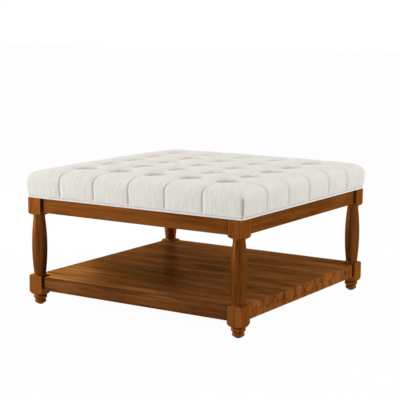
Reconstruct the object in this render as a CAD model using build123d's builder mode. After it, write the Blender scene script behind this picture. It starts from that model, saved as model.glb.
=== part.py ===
from build123d import *
import math
import os

os.makedirs("parts", exist_ok=True)

# Square ottoman coffee table in millimetres, on the floor with the origin under its centre.
# Four turned legs stand at the corners. Aprons and corner blocks make the upper frame,
# glued staves make the shelf, and a tufted cushion on a plywood deck is the top.

# Overall sizes
leg_span = 762  # between the axes of neighbouring legs
leg_stock = 51  # square section that each leg is turned from
frame_top = 356  # top of the legs, aprons and corner blocks
setback = 8  # aprons and shelf edges behind the outer faces of the leg blocks
reveal = 6.5  # open gap between a leg block and what comes up to its side

# Clearances shared by the hidden fastenings
pilot_clearance = 0.2  # on the diameter of a hole that a screw or pin bites in
bolt_clearance = 1  # on the diameter of a hole that a bolt passes through
soft_clearance = 0.3  # between soft goods and what they lie beside
overrun = 1  # how far a cutting form runs past the face that it cuts

# Flats that stand in for round faces on what repeats
turned_flats = 20  # on the legs
small_flats = 10  # on fastenings, buttons and drilled holes

# The four corners, each a quarter turn on from the one before
corner_names = ("front_left", "front_right", "back_right", "back_left")
full_turn = 360
quarter_turn = full_turn / len(corner_names)
corner_turns = {name: i * quarter_turn for i, name in enumerate(corner_names)}

half_stock = leg_stock / 2
block_face = leg_span / 2 + half_stock  # outer faces of the leg blocks from the centre
edge_face = block_face - setback  # outer faces of the aprons and the shelf
gap_end = leg_stock + reveal  # where the wood beside a leg block starts again
root_two = math.sqrt(2)


def corner_plane(turn, x, y, z=0):
    """A level plane at one corner, at x and y inward from the outer faces of its leg block."""
    home = Plane.XY.rotated((0, 0, turn))
    spot = home.from_local_coords(Vector(x - block_face, y - block_face, z))
    return Plane(origin=spot, x_dir=home.x_dir, z_dir=(0, 0, 1))


def diagonal_plane(turn, reach, z):
    """An upright plane across one corner's diagonal, at a reach inward from the outer arris."""
    level = corner_plane(turn, reach / root_two, reach / root_two, z)
    inward = level.x_dir + level.y_dir
    return Plane(origin=level.origin, x_dir=level.x_dir - level.y_dir, z_dir=inward)


def turning(outline, flats):
    """What a lathe makes of half an outline, with flats in place of its round faces."""
    widest_turn = 2 * max(radius for radius, level in outline)
    with BuildPart() as turned:
        for i in range(flats // 2):
            with BuildSketch(Plane.XZ.rotated((0, 0, i * full_turn / flats))):
                with BuildLine():
                    Polyline(*outline, *[(-x, z) for x, z in reversed(outline)], close=True)
                make_face()
            extrude(amount=widest_turn, both=True, mode=Mode.INTERSECT if i else Mode.ADD)
    return turned.part


def small_round(diameter, mode=Mode.ADD):
    """The section of a small round piece or of a drilled hole."""
    return RegularPolygon(diameter / 2, small_flats, mode=mode)


# Bolts that draw the legs against the corner blocks and the shelf
bolt_diameter = 8
bolt_in_leg = 32  # length of the wood thread
bolt_end = 3  # bare end past the nut
washer_diameter = 18
washer_thickness = 1.6
nut_sides = 6
nut_width = 13  # across flats
nut_thickness = 6.5
leg_flat = 8  # cut off each way from the inner arris of a leg block, for the bolts to draw on
flat_reach = (2 * leg_stock - leg_flat) / root_two
bolt_hole = bolt_diameter + bolt_clearance

# Leg, from the floor up
glide_height = 4.5
foot_diameter = 30  # of the end grain that the glide is nailed to
ring_diameter = 38
ring_height = 11.5
groove_diameter = 32
groove_height = 1.5
bun_diameter = 43
bun_height = 15.5
ankle_diameter = 41  # where the bun meets the lower block
lower_shoulder_diameter = 44
lower_shoulder_height = 14
lower_block_height = 48
collar_shoulder_diameter = 48
collar_shoulder_height = 5
collar_diameter = 42
collar_height = 3
shaft_end_diameter = 38.4
shaft_middle_diameter = 50
shaft_neck_height = 12.5  # straight length above the barrel
upper_shoulder_diameter = 46
upper_shoulder_height = 7.5
upper_block_height = 49
shoulder_swell_share = 0.12  # rise of a shoulder's curve, of its chord
ring_facets = 3  # turned bands that make up each round stretch
bun_facets = 4
shoulder_facets = 2
barrel_facets = 6
arris_ease = 1  # off the outer arrises of the blocks

ring_level = glide_height + ring_height
groove_level = ring_level + groove_height
ankle_level = groove_level + bun_height
lower_block_base = ankle_level + lower_shoulder_height
lower_block_top = lower_block_base + lower_block_height
collar_level = lower_block_top + collar_shoulder_height
shaft_base = collar_level + collar_height
upper_block_base = frame_top - upper_block_height
shaft_top = upper_block_base - upper_shoulder_height
barrel_top = shaft_top - shaft_neck_height
blank_radius = half_stock * root_two  # reaches the arrises of the square stock

# Glide
glide_diameter = 20
glide_ease = 2.5  # off the rim of the flat that stands on the floor
glide_pin_diameter = 3
glide_pin_length = 16

# Aprons
apron_thickness = 20
apron_height = 48
apron_ease = 1.5  # off the lower outer edge
apron_inner = edge_face - apron_thickness
apron_half_length = block_face - gap_end

# Corner blocks
corner_block_height = 38
corner_block_depth = 40  # along the diagonal, from the leg's flat to the inner face
top_screw_diameter = 5
top_screw_head_diameter = 10
top_screw_head_height = 3
top_screw_reach = 95  # from one block face, along the apron
top_screw_inset = 40  # from the other
top_screw_bite = 9  # in the deck

corner_block_base = frame_top - corner_block_height
corner_bolt_level = frame_top - corner_block_height / 2
inner_line = 2 * leg_stock - leg_flat + corner_block_depth * root_two
apron_depth = setback + apron_thickness  # inner apron face from the block face
top_screw_spots = ((top_screw_reach, top_screw_inset), (top_screw_inset, top_screw_reach))

# Shelf
stave_count = 12
shelf_base = 51
shelf_thickness = 45
stave_ease = 1  # off the upper edges of each stave, which shows as a fine groove
shelf_bolt_grip = 24  # wood between the leg's flat and the nut pocket
pocket_length = 26  # along the bolt
pocket_width = 30
pocket_corner = 6
pocket_headroom = 3  # over the washer
stave_width = 2 * edge_face / stave_count
shelf_bolt_level = shelf_base + shelf_thickness / 2
pocket_depth = shelf_thickness / 2 + washer_diameter / 2 + pocket_headroom

# Deck and its soft goods
deck_thickness = 12
welt_diameter = 5
welt_turn = 1.6  # cut off each way where the cord turns a corner
cover_wrap = 1.2  # thickness of the fabric round the deck
hem_width = 24
foam_height = 56
foam_inset = 4  # foam side behind the deck's edge
foam_roll = 20
wrap_face = block_face - welt_diameter - soft_clearance  # fabric behind the welt
deck_half = wrap_face - cover_wrap
deck_base = frame_top + cover_wrap
deck_top = deck_base + deck_thickness
foam_half = deck_half - foam_inset

# Cushion form
cushion_height = 101  # from the frame to the crown of a panel
tuft_rows = 5
tuft_pitch = 135
valley_depth = 8  # between two panels
edge_drop = 2  # of the outer panels at the roll
edge_panel_rise = 4.8  # of an outer panel off its chord
pleat_depth = 6
side_bulge = 6.5  # past the outer faces of the leg blocks
side_swell = 7.5  # of the side off its chord, from the deck to the roll
edge_roll = 34
edge_lean = 3  # drawn in from the widest line to the foot of the roll
corner_round = 14
round_rise_share = 0.207  # rise of a quarter round, of its chord
tuft_depth = 27
tuft_seat_diameter = 20
tuft_mouth_diameter = 74
tuft_swell = 6
tuft_folds = 8  # flats round each pit, between the folds that run out from its button
panel_facets = 4  # flats across a panel, from valley to valley
roll_facets = 4
corner_facets = 3
crown_level = frame_top + cushion_height
valley_level = crown_level - valley_depth
widest = block_face + side_bulge
tuft_seat = crown_level - tuft_depth
row_places = [tuft_pitch * (i - (tuft_rows - 1) / 2) for i in range(tuft_rows)]

# Tuft buttons, twine and staples
button_diameter = 17
button_height = 6
button_ease = 2.5
twine_width = 3
twine_thickness = 1
twine_clearance = 0.4
twine_tail = 20
twine_hole_diameter = 6
staple_width = 8
staple_wire = 0.8
staple_leg = 6
staple_place_share = 0.7  # along the twine's tail
staple_place = twine_tail * staple_place_share

# Dust cover
dust_cover_thickness = 0.8
dust_cover_gap = 4  # to the aprons and corner blocks
dust_cover_hem = 12
staple_base = deck_base - twine_thickness - staple_wire
dust_cover_base = staple_base - dust_cover_thickness
dust_cover_half = apron_inner - dust_cover_gap
dust_cover_corner = inner_line - 2 * apron_depth


# Legs: one turning each, with square blocks left for the aprons and the shelf
def swell(start, end, rise, facets):
    """Points of a round stretch between two ends, which rises outward off its chord."""
    along = (Vector(*end) - Vector(*start)).normalized()
    outward = Vector(along.Y, -along.X)
    middle = (Vector(*start) + Vector(*end)) / 2
    half = (Vector(*end) - Vector(*start)).length / 2
    radius = (half**2 + rise**2) / (2 * rise)
    reach = math.asin(half / radius)
    angles = [reach * (2 * i / facets - 1) for i in range(facets + 1)]
    points = [middle + along * (radius * math.sin(a))
              + outward * (radius * (math.cos(a) - math.cos(reach))) for a in angles]
    return [(point.X, point.Y) for point in points]


def shoulder(start, end):
    """Points of a lathe-cut shoulder between a block and what is turned beside it."""
    chord = (Vector(*end) - Vector(*start)).length
    return swell(start, end, chord * shoulder_swell_share, shoulder_facets)


def leg_outline():
    """Half the leg's outline, as radius and level, from the foot to the top of the blank."""
    foot, groove = foot_diameter / 2, groove_diameter / 2
    ankle, waist = ankle_diameter / 2, shaft_end_diameter / 2
    past_arris = blank_radius + overrun
    ring_rise = (ring_diameter - (foot_diameter + groove_diameter) / 2) / 2
    bun_rise = (bun_diameter - (groove_diameter + ankle_diameter) / 2) / 2
    barrel_rise = (shaft_middle_diameter - shaft_end_diameter) / 2
    return [
        *swell((foot, glide_height), (groove, ring_level), ring_rise, ring_facets),
        *swell((groove, groove_level), (ankle, ankle_level), bun_rise, bun_facets),
        *shoulder((lower_shoulder_diameter / 2, ankle_level), (past_arris, lower_block_base)),
        *shoulder((past_arris, lower_block_top), (collar_shoulder_diameter / 2, collar_level)),
        (collar_diameter / 2, collar_level),
        *swell((waist, shaft_base), (waist, barrel_top), barrel_rise, barrel_facets),
        (waist, shaft_top),
        *shoulder((upper_shoulder_diameter / 2, shaft_top), (past_arris, upper_block_base)),
        (past_arris, frame_top),
    ]


leg_turning = turning(leg_outline(), turned_flats)
for corner, turn in corner_turns.items():
    level = corner_plane(turn, half_stock, half_stock)
    with BuildPart() as leg:
        with Locations(level):
            add(leg_turning)
        with BuildSketch(level) as square:
            Rectangle(leg_stock, leg_stock)
            arrises = square.vertices().sort_by(Axis((0, 0, 0), (1, 1, 0)))
            chamfer(arrises[-1], leg_flat)
            chamfer(arrises[:-1], arris_ease)
        extrude(amount=frame_top, mode=Mode.INTERSECT)
        for bolt_level in (shelf_bolt_level, corner_bolt_level):
            with BuildSketch(diagonal_plane(turn, flat_reach - bolt_in_leg, bolt_level)):
                small_round(bolt_diameter + pilot_clearance)
            extrude(amount=bolt_in_leg + overrun, mode=Mode.SUBTRACT)
        with BuildSketch(corner_plane(turn, half_stock, half_stock, glide_height)):
            small_round(glide_pin_diameter + pilot_clearance)
        extrude(amount=glide_pin_length, mode=Mode.SUBTRACT)
    leg.part.label = f"leg_{corner}"
    export_step(leg.part, f"parts/leg_{corner}.step")

# Glides: four capped pins, driven into the end grain of the feet
with BuildPart() as glides:
    for turn in corner_turns.values():
        with BuildSketch(corner_plane(turn, half_stock, half_stock)):
            small_round(glide_diameter)
        extrude(amount=glide_height)
        with BuildSketch(corner_plane(turn, half_stock, half_stock, glide_height)):
            small_round(glide_pin_diameter)
        extrude(amount=glide_pin_length)
    chamfer(glides.edges().group_by(Axis.Z)[0], glide_ease)
glides.part.label = "glides"
export_step(glides.part, "parts/glides.step")

# Aprons: four boards behind the leg blocks, a reveal short of them at each end
apron_sides = {"apron_front": 0, "apron_right": 1, "apron_back": 2, "apron_left": 3}
for name, turns in apron_sides.items():
    side = Plane.XY.rotated((0, 0, turns * quarter_turn)).offset(frame_top - apron_height)
    with BuildPart() as apron:
        with BuildSketch(side):
            with Locations((0, apron_thickness / 2 - edge_face)):
                Rectangle(2 * apron_half_length, apron_thickness)
        extrude(amount=apron_height)
        lower = apron.edges().group_by(Axis.Z)[0].filter_by(Axis(side.origin, side.x_dir))
        outward = Axis(side.origin, -side.y_dir)
        chamfer(lower.sort_by(outward)[-1], apron_ease)
    apron.part.label = name
    export_step(apron.part, f"parts/{name}.step")

# Corner blocks: hardwood, glued between two aprons, with the leg drawn on to each
for corner, turn in corner_turns.items():
    with BuildPart() as corner_block:
        with BuildSketch(corner_plane(turn, 0, 0, corner_block_base)):
            flat_line = 2 * leg_stock - leg_flat
            with BuildLine():
                Polyline((gap_end, apron_depth), (inner_line - apron_depth, apron_depth),
                         (apron_depth, inner_line - apron_depth), (apron_depth, gap_end),
                         (flat_line - gap_end, gap_end), (gap_end, flat_line - gap_end), close=True)
            make_face()
        extrude(amount=corner_block_height)
        with BuildSketch(diagonal_plane(turn, flat_reach, corner_bolt_level)):
            small_round(bolt_hole)
        extrude(amount=corner_block_depth, mode=Mode.SUBTRACT)
        for x, y in top_screw_spots:
            with BuildSketch(corner_plane(turn, x, y, corner_block_base)):
                small_round(top_screw_diameter + bolt_clearance)
            extrude(amount=corner_block_height, mode=Mode.SUBTRACT)
    corner_block.part.label = f"corner_block_{corner}"
    export_step(corner_block.part, f"parts/corner_block_{corner}.step")

# Bolts: hanger bolts from the legs' inner flats, one through each corner block and shelf corner
bolt_sets = {
    "frame": (corner_bolt_level, corner_block_depth),
    "shelf": (shelf_bolt_level, shelf_bolt_grip),
}
for where, (bolt_level, grip) in bolt_sets.items():
    with BuildPart() as bolts:
        for turn in corner_turns.values():
            with BuildSketch(diagonal_plane(turn, flat_reach - bolt_in_leg, bolt_level)):
                small_round(bolt_diameter)
            extrude(amount=bolt_in_leg + grip + washer_thickness + nut_thickness + bolt_end)
    bolts.part.label = f"{where}_bolts"
    export_step(bolts.part, f"parts/{where}_bolts.step")

    with BuildPart() as washers:
        for turn in corner_turns.values():
            with BuildSketch(diagonal_plane(turn, flat_reach + grip, bolt_level)):
                small_round(washer_diameter)
                small_round(bolt_hole, mode=Mode.SUBTRACT)
            extrude(amount=washer_thickness)
    washers.part.label = f"{where}_washers"
    export_step(washers.part, f"parts/{where}_washers.step")

    with BuildPart() as nuts:
        for turn in corner_turns.values():
            nut_reach = flat_reach + grip + washer_thickness
            with BuildSketch(diagonal_plane(turn, nut_reach, bolt_level)):
                RegularPolygon(nut_width / 2, nut_sides, major_radius=False)
                small_round(bolt_diameter + pilot_clearance, mode=Mode.SUBTRACT)
            extrude(amount=nut_thickness)
    nuts.part.label = f"{where}_nuts"
    export_step(nuts.part, f"parts/{where}_nuts.step")

# Top screws: up through the corner blocks into the deck
with BuildPart() as top_screws:
    for turn in corner_turns.values():
        for x, y in top_screw_spots:
            with BuildSketch(corner_plane(turn, x, y, corner_block_base)):
                small_round(top_screw_head_diameter)
            extrude(amount=-top_screw_head_height)
            with BuildSketch(corner_plane(turn, x, y, corner_block_base)):
                small_round(top_screw_diameter)
            extrude(amount=deck_base - corner_block_base + top_screw_bite)
top_screws.part.label = "top_screws"
export_step(top_screws.part, "parts/top_screws.step")

# Shelf: staves glued edge to edge, notched round the leg blocks and pocketed for the nuts
with BuildPart() as shelf_cuts:
    for turn in corner_turns.values():
        with BuildSketch(corner_plane(turn, 0, 0, shelf_base - overrun)):
            flat_line = 2 * leg_stock - leg_flat
            with BuildLine():
                Polyline((0, 0), (gap_end, 0), (gap_end, flat_line - gap_end),
                         (flat_line - gap_end, gap_end), (0, gap_end), close=True)
            make_face()
        extrude(amount=shelf_thickness + 2 * overrun)
        with BuildSketch(diagonal_plane(turn, flat_reach - overrun, shelf_bolt_level)):
            small_round(bolt_hole)
        extrude(amount=overrun + shelf_bolt_grip + overrun)
        pocket = diagonal_plane(turn, flat_reach + shelf_bolt_grip, shelf_base - overrun)
        with BuildSketch(Plane(origin=pocket.origin, x_dir=pocket.z_dir, z_dir=(0, 0, 1))):
            with Locations((pocket_length / 2, 0)):
                RectangleRounded(pocket_length, pocket_width, pocket_corner)
        extrude(amount=pocket_depth + overrun)

for i in range(stave_count):
    near_edge = i * stave_width - edge_face
    with BuildPart() as stave:
        with BuildSketch(Plane.XY.offset(shelf_base)):
            with Locations((0, near_edge + stave_width / 2)):
                Rectangle(2 * edge_face, stave_width)
        extrude(amount=shelf_thickness)
        chamfer(stave.edges().group_by(Axis.Z)[-1], stave_ease)
        add(shelf_cuts.part, mode=Mode.SUBTRACT)
    name = f"shelf_stave_{i + 1:02d}"
    stave.part.label = name
    export_step(stave.part, f"parts/{name}.step")

# Deck: plywood, drilled for the twine and the top screws and grooved by the staples
with BuildPart() as staples:
    for side in (-1, 1):
        with BuildSketch(Plane.XY.offset(deck_base - twine_thickness)):
            with GridLocations(tuft_pitch, tuft_pitch, tuft_rows, tuft_rows):
                with Locations((staple_place, side * (staple_width - staple_wire) / 2)):
                    Rectangle(staple_wire, staple_wire)
        extrude(amount=twine_thickness + staple_leg)
    with BuildSketch(Plane.XY.offset(staple_base)):
        with GridLocations(tuft_pitch, tuft_pitch, tuft_rows, tuft_rows):
            with Locations((staple_place, 0)):
                Rectangle(staple_wire, staple_width)
    extrude(amount=staple_wire)
staples.part.label = "twine_staples"
export_step(staples.part, "parts/twine_staples.step")

with BuildPart() as deck:
    with BuildSketch(Plane.XY.offset(deck_base)):
        Rectangle(2 * deck_half, 2 * deck_half)
    extrude(amount=deck_thickness)
    with BuildSketch(Plane.XY.offset(deck_base)):
        with GridLocations(tuft_pitch, tuft_pitch, tuft_rows, tuft_rows):
            small_round(twine_hole_diameter)
    extrude(amount=deck_thickness, mode=Mode.SUBTRACT)
    for turn in corner_turns.values():
        for x, y in top_screw_spots:
            with BuildSketch(corner_plane(turn, x, y, deck_base)):
                small_round(top_screw_diameter + pilot_clearance)
            extrude(amount=top_screw_bite, mode=Mode.SUBTRACT)
    add(staples.part, mode=Mode.SUBTRACT)
deck.part.label = "top_deck"
export_step(deck.part, "parts/top_deck.step")

# Twine: flat waxed twine from each button down through the deck, its tail stapled below
with BuildPart() as twine:
    with BuildSketch(Plane.XY.offset(deck_base - twine_thickness)):
        with GridLocations(tuft_pitch, tuft_pitch, tuft_rows, tuft_rows):
            with Locations(((twine_tail - twine_thickness) / 2, 0)):
                Rectangle(twine_tail, twine_width)
    extrude(amount=twine_thickness)
    with BuildSketch(Plane.XY.offset(deck_base)):
        with GridLocations(tuft_pitch, tuft_pitch, tuft_rows, tuft_rows):
            Rectangle(twine_thickness, twine_width)
    extrude(amount=tuft_seat - deck_base)
twine.part.label = "tuft_twine"
export_step(twine.part, "parts/tuft_twine.step")

# Foam: one slab on the deck, rolled over at its upper edge, slit where the twine passes
with BuildPart() as foam_slab:
    with BuildSketch(Plane.XY.offset(deck_top)):
        Rectangle(2 * foam_half, 2 * foam_half)
    extrude(amount=foam_height)
    fillet(foam_slab.edges().group_by(Axis.Z)[-1], foam_roll)

with BuildPart() as foam:
    add(foam_slab.part)
    with BuildSketch(Plane.XY.offset(deck_top)):
        with GridLocations(tuft_pitch, tuft_pitch, tuft_rows, tuft_rows):
            Rectangle(twine_thickness + twine_clearance, twine_width + twine_clearance)
    extrude(amount=foam_height, mode=Mode.SUBTRACT)
foam.part.label = "foam_pad"
export_step(foam.part, "parts/foam_pad.step")


# Cushion cover: fabric quilted over wadding, drawn down at the tufts and pleated between them
def panels(stops, rise):
    """Points of the round stretches from stop to stop of an outline, without the last stop."""
    return [point for start, end in zip(stops, stops[1:])
            for point in swell(start, end, rise, panel_facets)[:-1]]


def quarter_round(start, end, facets):
    """Points of a quarter round between two ends."""
    chord = (Vector(*end) - Vector(*start)).length
    return swell(start, end, chord * round_rise_share, facets)


def section_outline():
    """Half the cushion's section, from the foot of its side over the roll to the middle."""
    roll_end = (widest - edge_lean - edge_roll, crown_level - edge_drop)
    roll_foot = (widest - edge_lean, crown_level - edge_drop - edge_roll)
    valleys = [(x, valley_level) for x in reversed(row_places) if x >= 0]
    return [
        (wrap_face, frame_top),
        *swell((wrap_face, deck_top), roll_foot, side_swell, panel_facets)[:-1],
        *quarter_round(roll_foot, roll_end, roll_facets)[:-1],
        *panels([roll_end, valleys[0]], edge_panel_rise),
        *panels(valleys, valley_depth),
        valleys[-1],
    ]


def side_outline():
    """One side of the cushion's plan, from a rounded corner along the pleats to the next."""
    edge = widest - pleat_depth / 2
    pleats = [(x, pleat_depth - widest) for x in row_places]
    corner_end = (corner_round - edge, -edge)
    return [
        *quarter_round((-edge, corner_round - edge), corner_end, corner_facets)[:-1],
        *panels([corner_end, pleats[0]], edge_panel_rise),
        *panels(pleats, pleat_depth),
        *panels([pleats[-1], (-corner_end[0], -edge)], edge_panel_rise),
    ]


def pit_outline():
    """Half a tuft's pit, from its seat out over a swelling lip to its mouth."""
    seat = Vector(tuft_seat_diameter / 2, tuft_seat)
    mouth = Vector(tuft_mouth_diameter / 2, crown_level + overrun)
    lip = (mouth - seat).normalized()
    middle = (seat + mouth) / 2 + Vector(-lip.Y, lip.X) * tuft_swell
    return [(point.X, point.Y) for point in (seat, middle, mouth)]


tuft_pit = turning(pit_outline(), tuft_folds)
with BuildPart() as cover:
    half_section = section_outline()
    for section_plane, mode in ((Plane.XZ, Mode.ADD), (Plane.YZ, Mode.INTERSECT)):
        with BuildSketch(section_plane):
            with BuildLine():
                Polyline(*half_section, *[(-x, z) for x, z in half_section[-2::-1]], close=True)
            make_face()
        extrude(amount=widest, both=True, mode=mode)
    with BuildSketch(Plane.XY.offset(frame_top)):
        with BuildLine():
            Polyline(*[Vector(*point).rotate(Axis.Z, turn) for turn in corner_turns.values()
                       for point in side_outline()], close=True)
        make_face()
    extrude(amount=cushion_height, mode=Mode.INTERSECT)
    with GridLocations(tuft_pitch, tuft_pitch, tuft_rows, tuft_rows):
        add(tuft_pit, mode=Mode.SUBTRACT)
    with BuildSketch(Plane.XY.offset(deck_base)):
        Rectangle(2 * deck_half, 2 * deck_half)
    extrude(amount=deck_thickness, mode=Mode.SUBTRACT)
    with BuildSketch(Plane.XY.offset(frame_top)):
        Rectangle(2 * (wrap_face - hem_width), 2 * (wrap_face - hem_width))
    extrude(amount=cover_wrap, mode=Mode.SUBTRACT)
    add(foam_slab.part, mode=Mode.SUBTRACT)
    with BuildSketch(Plane.XY.offset(deck_top)):
        with GridLocations(tuft_pitch, tuft_pitch, tuft_rows, tuft_rows):
            Rectangle(twine_thickness + twine_clearance, twine_width + twine_clearance)
    extrude(amount=tuft_seat - deck_top, mode=Mode.SUBTRACT)
cover.part.label = "cushion_cover"
export_step(cover.part, "parts/cushion_cover.step")

# Tuft buttons: covered shells, domed, each drawn down on its seat in the cover
with BuildPart() as buttons:
    with BuildSketch(Plane.XY.offset(tuft_seat)):
        with GridLocations(tuft_pitch, tuft_pitch, tuft_rows, tuft_rows):
            small_round(button_diameter)
    extrude(amount=button_height)
    chamfer(buttons.edges().group_by(Axis.Z)[-1], button_ease)
buttons.part.label = "tuft_buttons"
export_step(buttons.part, "parts/tuft_buttons.step")

# Welt: fabric-covered cord round the foot of the cushion
with BuildPart() as welt:
    welt_place = wrap_face + soft_clearance + welt_diameter / 2
    welt_level = frame_top + soft_clearance + welt_diameter / 2
    with BuildLine(Plane.XY.offset(welt_level)) as welt_path:
        Polyline((-welt_place, -welt_place), (welt_place, -welt_place),
                 (welt_place, welt_place), (-welt_place, welt_place), close=True)
        chamfer(welt_path.vertices(), welt_turn)
    with BuildSketch(welt_path.line ^ 0):
        Circle(welt_diameter / 2)
    sweep(path=welt_path.wires()[0], transition=Transition.RIGHT)
welt.part.label = "welt_cord"
export_step(welt.part, "parts/welt_cord.step")

# Dust cover: thin cloth with a folded hem, stapled under the deck inside the frame
with BuildPart() as dust_cover:
    with BuildSketch(Plane.XY.offset(dust_cover_base)) as cloth:
        Rectangle(2 * dust_cover_half, 2 * dust_cover_half)
        chamfer(cloth.vertices(), dust_cover_corner)
    extrude(amount=deck_base - dust_cover_base)
    with BuildSketch(Plane.XY.offset(staple_base)) as inside:
        Rectangle(2 * dust_cover_half, 2 * dust_cover_half)
        chamfer(inside.vertices(), dust_cover_corner)
        offset(amount=-dust_cover_hem, mode=Mode.REPLACE)
    extrude(amount=deck_base - staple_base, mode=Mode.SUBTRACT)
dust_cover.part.label = "dust_cover"
export_step(dust_cover.part, "parts/dust_cover.step")
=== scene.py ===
import math

import bpy
import numpy as np
from mathutils import Matrix, Quaternion, Vector, noise


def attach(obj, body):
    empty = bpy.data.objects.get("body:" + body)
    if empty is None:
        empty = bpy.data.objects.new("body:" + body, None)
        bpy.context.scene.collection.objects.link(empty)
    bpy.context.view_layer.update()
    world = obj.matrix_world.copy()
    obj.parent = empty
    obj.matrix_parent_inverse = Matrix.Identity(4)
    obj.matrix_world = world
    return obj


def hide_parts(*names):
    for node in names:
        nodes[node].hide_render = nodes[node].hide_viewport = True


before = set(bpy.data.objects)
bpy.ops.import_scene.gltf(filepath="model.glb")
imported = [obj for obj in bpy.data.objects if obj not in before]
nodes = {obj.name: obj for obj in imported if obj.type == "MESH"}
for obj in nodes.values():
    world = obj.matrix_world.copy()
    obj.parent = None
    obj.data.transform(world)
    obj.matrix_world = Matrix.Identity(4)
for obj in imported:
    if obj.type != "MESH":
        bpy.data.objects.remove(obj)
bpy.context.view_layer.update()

# Camera: a long lens on the front right corner, a little above the cushion,
# as in the photograph. It looks between the front and the right side.
bpy.ops.object.select_all(action="DESELECT")
bpy.ops.object.camera_add(location=(2.1239, -3.2930, 0.9296))
camera = bpy.context.object
aim = Vector((-0.5362, 0.8305, -0.1510)).to_track_quat("-Z", "Y")
camera.rotation_euler = (aim @ Quaternion((0, 0, 1), math.radians(0.3))).to_euler()
camera.data.lens = 106.2
camera.data.sensor_width = 36
bpy.context.scene.camera = camera

# Studio: a white room with a tall soft box at the left front, a low one before it and one
# behind, a broad lamp above and one at the right. The floor is matt white.
bpy.context.scene.view_settings.view_transform = "Standard"
room = bpy.data.worlds.new("white_room")
room.use_nodes = True
bpy.context.scene.world = room
air = room.node_tree
air.nodes.clear()
air_out = air.nodes.new("ShaderNodeOutputWorld")
air_light = air.nodes.new("ShaderNodeBackground")
air_light.inputs["Color"].default_value = (1, 1, 1, 1)
air_light.inputs["Strength"].default_value = 0.42
air_seen = air.nodes.new("ShaderNodeBackground")
air_seen.inputs["Color"].default_value = (1, 1, 1, 1)
air_seen.inputs["Strength"].default_value = 1.0
air_choice = air.nodes.new("ShaderNodeMixShader")


def seen_share(tree):
    """1 for the rays that show the background: camera, glossy and transmission rays."""
    path = tree.nodes.new("ShaderNodeLightPath")
    glossy = tree.nodes.new("ShaderNodeMath")
    glossy.operation = "MAXIMUM"
    tree.links.new(path.outputs["Is Camera Ray"], glossy.inputs[0])
    tree.links.new(path.outputs["Is Glossy Ray"], glossy.inputs[1])
    clear = tree.nodes.new("ShaderNodeMath")
    clear.operation = "MAXIMUM"
    tree.links.new(glossy.outputs[0], clear.inputs[0])
    tree.links.new(path.outputs["Is Transmission Ray"], clear.inputs[1])
    return clear.outputs[0]


air.links.new(seen_share(air), air_choice.inputs["Fac"])
air.links.new(air_light.outputs[0], air_choice.inputs[1])
air.links.new(air_seen.outputs[0], air_choice.inputs[2])
air.links.new(air_choice.outputs[0], air_out.inputs["Surface"])

bpy.ops.object.select_all(action="DESELECT")
bpy.ops.mesh.primitive_plane_add(size=60, location=(0, 0, 0))
floor = bpy.context.object
floor.name = "studio_floor"
floor_paint = bpy.data.materials.new("matt_floor_paint")
floor_paint.use_nodes = True
paint = floor_paint.node_tree
paint.nodes.clear()
paint_out = paint.nodes.new("ShaderNodeOutputMaterial")
paint_matt = paint.nodes.new("ShaderNodeBsdfDiffuse")
paint_matt.inputs["Color"].default_value = (0.9, 0.9, 0.9, 1)
paint_glow = paint.nodes.new("ShaderNodeEmission")
paint_glow.inputs["Color"].default_value = (1, 1, 1, 1)
paint_glow.inputs["Strength"].default_value = 1.0
paint_share = paint.nodes.new("ShaderNodeMath")
paint_share.operation = "MULTIPLY"
paint_share.inputs[1].default_value = 0.975
paint_mix = paint.nodes.new("ShaderNodeMixShader")
paint.links.new(seen_share(paint), paint_share.inputs[0])
paint.links.new(paint_share.outputs[0], paint_mix.inputs["Fac"])
paint.links.new(paint_matt.outputs[0], paint_mix.inputs[1])
paint.links.new(paint_glow.outputs[0], paint_mix.inputs[2])
paint.links.new(paint_mix.outputs[0], paint_out.inputs["Surface"])
floor.data.materials.append(floor_paint)

for lamp_name, place, size, power in (
    ("key_lamp", (-4.2, -2.75, 1.35), (2.2, 2.6), 74),
    ("low_lamp", (-4.2, -3.0, 0.50), (1.8, 0.9), 66),
    ("side_lamp", (-2.3, 1.4, 0.60), (1.2, 1.1), 20),
    ("top_lamp", (-0.3, -0.5, 3.3), (2.2, 2.2), 28),
    ("fill_lamp", (3.0, 1.1, 2.1), (1.2, 1.2), 42),
):
    bpy.ops.object.light_add(type="AREA", location=place)
    lamp = bpy.context.object
    lamp.name = lamp_name
    lamp.data.shape = "RECTANGLE"
    lamp.data.size, lamp.data.size_y = size
    lamp.data.energy = power
    lamp.rotation_euler = (Vector((0, 0, 0.28)) - Vector(place)).to_track_quat("-Z", "Y").to_euler()

# Legs: each is turned from one length of 51 mm square hardwood. The lathe
# leaves two square blocks, and cuts their corners to arched shoulders. They
# are stained walnut brown and rubbed to a satin lacquer.
leg_axis = 0.381
leg_stock = 0.051
frame_top = 0.356
past_corner = 0.037  # beyond the corners of the square stock
inner_flat = 0.008
arris_ease = 0.0010


def round_stretch(start, end, rise, steps):
    """Radius and level along a round that rises off the chord between two points."""
    (r0, z0), (r1, z1) = start, end
    chord = math.hypot(r1 - r0, z1 - z0)
    radius = (chord**2 / 4 + rise**2) / (2 * rise)
    reach = math.asin(min(1.0, chord / 2 / radius))
    along = Vector((r1 - r0, z1 - z0)) / chord
    outward = Vector((along.y, -along.x))
    middle = Vector(((r0 + r1) / 2, (z0 + z1) / 2))
    points = []
    for i in range(steps + 1):
        turn = reach * (2 * i / steps - 1)
        point = middle + along * (radius * math.sin(turn)) + outward * (
            radius * (math.cos(turn) - math.cos(reach)))
        points.append((point.x, point.y))
    return points


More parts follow.
